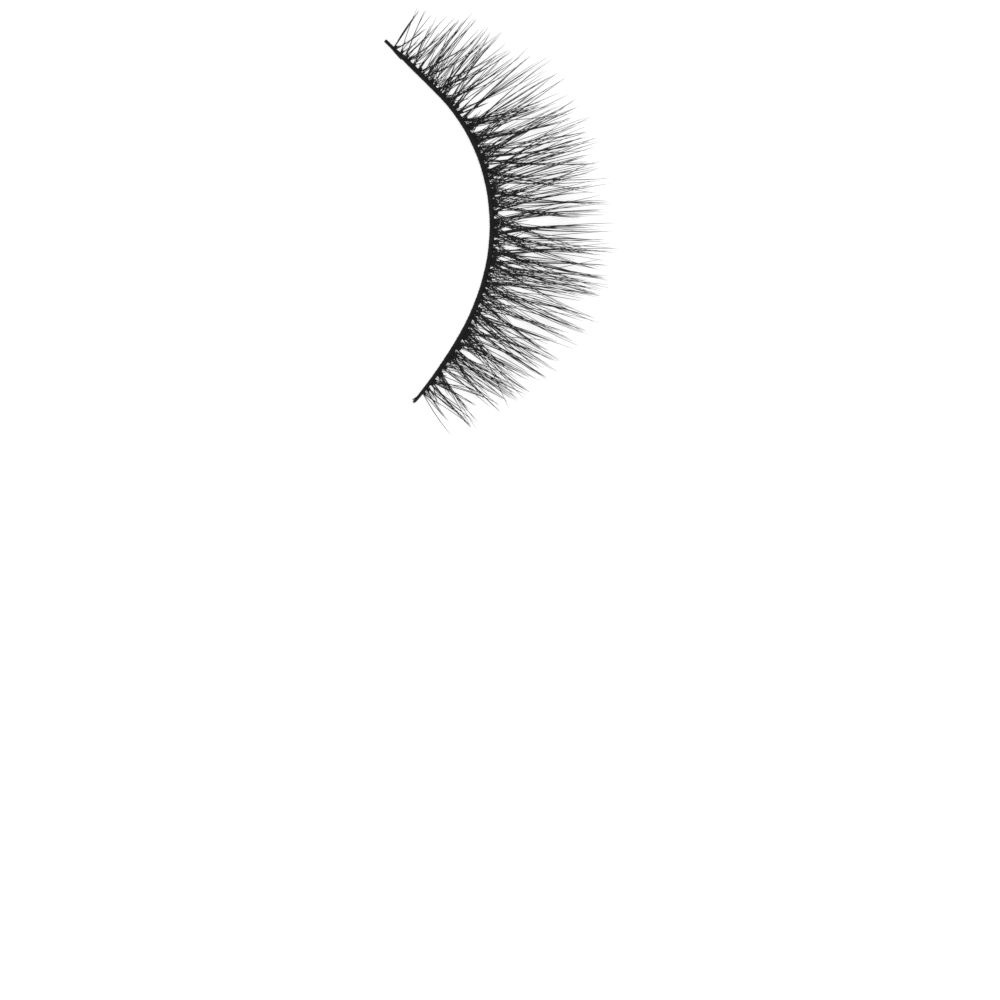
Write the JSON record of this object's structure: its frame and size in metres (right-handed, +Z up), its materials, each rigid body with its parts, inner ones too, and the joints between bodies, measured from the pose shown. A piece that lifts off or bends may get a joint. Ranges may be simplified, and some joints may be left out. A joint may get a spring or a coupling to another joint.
{
  "type": "false eyelash strip",
  "caption": "Strip of curled black false lashes tied in crossing locks along a curved cotton band that follows the eyelid.",
  "frame": {"origin": "under the middle of the whole strip, on the table that it lies on", "axes": "+X along the line through the band's two ends, towards the inner corner of the eye; the lashes point to -Y; +Z up, the way the lashes curl"},
  "size_m": [0.0336, 0.0172, 0.0038],
  "materials": {
    "cotton": "matt black waxed cotton",
    "fibre": "satin black synthetic fibre"
  },
  "bodies": {
    "root": {"band": "cotton", "under_lashes": "fibre", "top_lashes": "fibre"}
  },
  "joints": []
}
